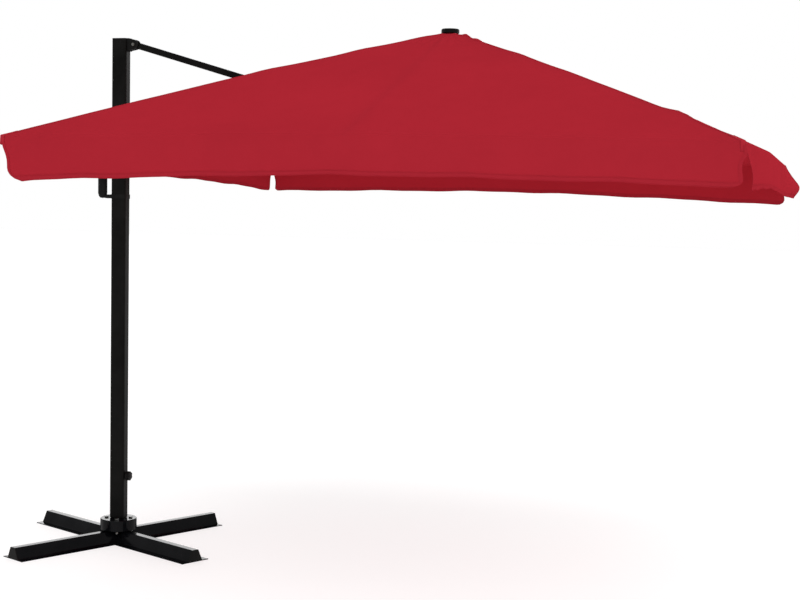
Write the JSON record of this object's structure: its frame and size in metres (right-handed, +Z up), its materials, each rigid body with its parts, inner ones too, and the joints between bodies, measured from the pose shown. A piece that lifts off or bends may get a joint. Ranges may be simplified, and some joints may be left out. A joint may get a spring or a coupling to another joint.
{
  "type": "cantilever parasol",
  "caption": "Side-mast garden parasol: square canopy with a valance, a folding boom and strut on a swivelling mast, a sliding carriage with a D grip, and a flat cross base.",
  "frame": {"origin": "on the floor, on the mast's swivel axis, at the middle of the cross base's underside", "axes": "+X from the mast along the boom to the hub, +Y along a side of the canopy, +Z up"},
  "size_m": [3.8559, 3.032, 2.618],
  "materials": {
    "base_coat": "gloss",
    "frame_coat": "satin",
    "black_plastic": "matte",
    "bearing_plastic": "satin",
    "bolt_steel": "satin",
    "canopy_cloth": "matte"
  },
  "bodies": {
    "base": {"cross_beam": "base_coat", "cross_half_beam_left": "base_coat", "cross_half_beam_right": "base_coat", "leg_cap_1": "black_plastic", "leg_cap_2": "black_plastic", "leg_cap_3": "black_plastic", "leg_cap_4": "black_plastic", "tie_plate": "base_coat", "top_plate": "base_coat", "swivel_post": "base_coat", "flange_bolt_1": "bolt_steel", "flange_bolt_2": "bolt_steel", "flange_bolt_3": "bolt_steel", "flange_bolt_4": "bolt_steel"},
    "mast": {"mast": "frame_coat", "swivel_bush": "bearing_plastic", "mast_cap": "black_plastic", "strut_bolt_top": "bolt_steel"},
    "knob": {"clamp_knob": "black_plastic"},
    "strut": {"strut": "frame_coat"},
    "boom": {"boom": "frame_coat", "boom_root": "black_plastic", "boom_tip": "black_plastic", "strut_bracket": "frame_coat", "strut_bolt_boom": "bolt_steel", "canopy_4": "canopy_cloth"},
    "carriage": {"carriage": "black_plastic", "carriage_bolt": "bolt_steel", "carriage_liner_bottom": "bearing_plastic", "carriage_liner_top": "bearing_plastic", "carriage_grip": "black_plastic"},
    "lever": {"lock_lever": "black_plastic"},
    "shoe": {"lock_shoe": "bearing_plastic"},
    "hub": {"crown": "black_plastic", "hub_post": "frame_coat", "hub_bolt": "bolt_steel", "top_cap": "black_plastic"},
    "runner": {"runner": "black_plastic"},
    "rib_0": {"rib_0": "frame_coat", "canopy_0": "canopy_cloth"},
    "stay_0": {"stay_0": "frame_coat"},
    "rib_1": {"rib_1": "frame_coat", "canopy_1": "canopy_cloth"},
    "stay_1": {"stay_1": "frame_coat"},
    "rib_2": {"rib_2": "frame_coat", "canopy_2": "canopy_cloth"},
    "stay_2": {"stay_2": "frame_coat"},
    "rib_3": {"rib_3": "frame_coat", "canopy_3": "canopy_cloth"},
    "stay_3": {"stay_3": "frame_coat"},
    "rib_5": {"rib_5": "frame_coat", "canopy_5": "canopy_cloth"},
    "stay_5": {"stay_5": "frame_coat"},
    "rib_6": {"rib_6": "frame_coat", "canopy_6": "canopy_cloth"},
    "stay_6": {"stay_6": "frame_coat"},
    "rib_7": {"rib_7": "frame_coat", "canopy_7": "canopy_cloth"},
    "stay_7": {"stay_7": "frame_coat"}
  },
  "joints": [
    {"name": "mast_swivel", "type": "hinge", "parent": "base", "child": "mast", "pos_m": [0, 0, 0.2], "axis": [0, 0, 1], "continuous": true},
    {"name": "strut_fold", "type": "hinge", "parent": "mast", "child": "strut", "pos_m": [0.076, 0, 2.562], "axis": [0, 1, 0], "range_deg": [0, 63]},
    {"name": "boom_fold", "type": "hinge", "parent": "strut", "child": "boom", "pos_m": [0.98965, 0, 2.30174], "axis": [0, -1, 0], "range_deg": [0, 126], "deforming": ["canopy_4"]},
    {"name": "carriage_level", "type": "hinge", "parent": "boom", "child": "carriage", "pos_m": [0.076, 0, 2.04148], "axis": [0, 1, 0], "range_deg": [0, 63]},
    {"name": "hub_level", "type": "hinge", "parent": "boom", "child": "hub", "pos_m": [1.67, 0, 2.46], "axis": [0, 1, 0], "range_deg": [0, 63]},
    {"name": "rib_0_fold", "type": "hinge", "parent": "hub", "child": "rib_0", "pos_m": [1.805, 0, 2.564], "axis": [0, 1, 0], "range_deg": [0, 66], "deforming": ["canopy_0"]},
    {"name": "stay_0_fold", "type": "hinge", "parent": "rib_0", "child": "stay_0", "pos_m": [2.38697, 0, 2.35019], "axis": [0, -1, 0], "range_deg": [0, 132]},
    {"name": "rib_1_fold", "type": "hinge", "parent": "hub", "child": "rib_1", "pos_m": [1.7845, 0.0495, 2.564], "axis": [-0.7071, 0.7071, 0], "range_deg": [0, 66], "deforming": ["canopy_1"]},
    {"name": "stay_1_fold", "type": "hinge", "parent": "rib_1", "child": "stay_1", "pos_m": [2.19601, 0.46101, 2.35019], "axis": [0.7071, -0.7071, 0], "range_deg": [0, 132]},
    {"name": "rib_2_fold", "type": "hinge", "parent": "hub", "child": "rib_2", "pos_m": [1.735, 0.07, 2.564], "axis": [-1, 0, 0], "range_deg": [0, 66], "deforming": ["canopy_2"]},
    {"name": "stay_2_fold", "type": "hinge", "parent": "rib_2", "child": "stay_2", "pos_m": [1.735, 0.65197, 2.35019], "axis": [1, 0, 0], "range_deg": [0, 132]},
    {"name": "rib_3_fold", "type": "hinge", "parent": "hub", "child": "rib_3", "pos_m": [1.6855, 0.0495, 2.564], "axis": [-0.7071, -0.7071, 0], "range_deg": [0, 66], "deforming": ["canopy_3"]},
    {"name": "stay_3_fold", "type": "hinge", "parent": "rib_3", "child": "stay_3", "pos_m": [1.27399, 0.46101, 2.35019], "axis": [0.7071, 0.7071, 0], "range_deg": [0, 132]},
    {"name": "rib_5_fold", "type": "hinge", "parent": "hub", "child": "rib_5", "pos_m": [1.6855, -0.0495, 2.564], "axis": [0.7071, -0.7071, 0], "range_deg": [0, 66], "deforming": ["canopy_5"]},
    {"name": "stay_5_fold", "type": "hinge", "parent": "rib_5", "child": "stay_5", "pos_m": [1.27399, -0.46101, 2.35019], "axis": [-0.7071, 0.7071, 0], "range_deg": [0, 132]},
    {"name": "rib_6_fold", "type": "hinge", "parent": "hub", "child": "rib_6", "pos_m": [1.735, -0.07, 2.564], "axis": [1, 0, 0], "range_deg": [0, 66], "deforming": ["canopy_6"]},
    {"name": "stay_6_fold", "type": "hinge", "parent": "rib_6", "child": "stay_6", "pos_m": [1.735, -0.65197, 2.35019], "axis": [-1, 0, 0], "range_deg": [0, 132]},
    {"name": "rib_7_fold", "type": "hinge", "parent": "hub", "child": "rib_7", "pos_m": [1.7845, -0.0495, 2.564], "axis": [0.7071, 0.7071, 0], "range_deg": [0, 66], "deforming": ["canopy_7"]},
    {"name": "stay_7_fold", "type": "hinge", "parent": "rib_7", "child": "stay_7", "pos_m": [2.19601, -0.46101, 2.35019], "axis": [-0.7071, -0.7071, 0], "range_deg": [0, 132]},
    {"name": "runner_level", "type": "hinge", "parent": "stay_0", "child": "runner", "pos_m": [1.805, 0, 2.13639], "axis": [0, 1, 0], "range_deg": [0, 66]},
    {"name": "knob_turn", "type": "hinge", "parent": "mast", "child": "knob", "pos_m": [0.05, 0, 0.345], "axis": [1, 0, 0], "range_deg": [0, 1080]},
    {"name": "lever_pull", "type": "hinge", "parent": "carriage", "child": "lever", "pos_m": [-0.057, 0, 1.962], "axis": [0, 1, 0], "range_deg": [0, 10], "stiffness_Nm_per_rad": 3, "springref_deg": -2.86},
    {"name": "shoe_slide", "type": "slide", "parent": "carriage", "child": "shoe", "axis": [-1, 0, 0], "range_m": [0, 0.0034]}
  ],
  "couplings": [
    {"joint": "boom_fold", "follows": "strut_fold", "ratio": 2},
    {"joint": "carriage_level", "follows": "strut_fold", "ratio": 1},
    {"joint": "hub_level", "follows": "strut_fold", "ratio": 1},
    {"joint": "rib_0_fold", "follows": "strut_fold", "ratio": 1.0476},
    {"joint": "stay_0_fold", "follows": "strut_fold", "ratio": 2.0952},
    {"joint": "rib_1_fold", "follows": "strut_fold", "ratio": 1.0476},
    {"joint": "stay_1_fold", "follows": "strut_fold", "ratio": 2.0952},
    {"joint": "rib_2_fold", "follows": "strut_fold", "ratio": 1.0476},
    {"joint": "stay_2_fold", "follows": "strut_fold", "ratio": 2.0952},
    {"joint": "rib_3_fold", "follows": "strut_fold", "ratio": 1.0476},
    {"joint": "stay_3_fold", "follows": "strut_fold", "ratio": 2.0952},
    {"joint": "rib_5_fold", "follows": "strut_fold", "ratio": 1.0476},
    {"joint": "stay_5_fold", "follows": "strut_fold", "ratio": 2.0952},
    {"joint": "rib_6_fold", "follows": "strut_fold", "ratio": 1.0476},
    {"joint": "stay_6_fold", "follows": "strut_fold", "ratio": 2.0952},
    {"joint": "rib_7_fold", "follows": "strut_fold", "ratio": 1.0476},
    {"joint": "stay_7_fold", "follows": "strut_fold", "ratio": 2.0952},
    {"joint": "runner_level", "follows": "strut_fold", "ratio": 1.0476},
    {"joint": "shoe_slide", "follows": "lever_pull", "m_per_rad": 0.0194}
  ]
}
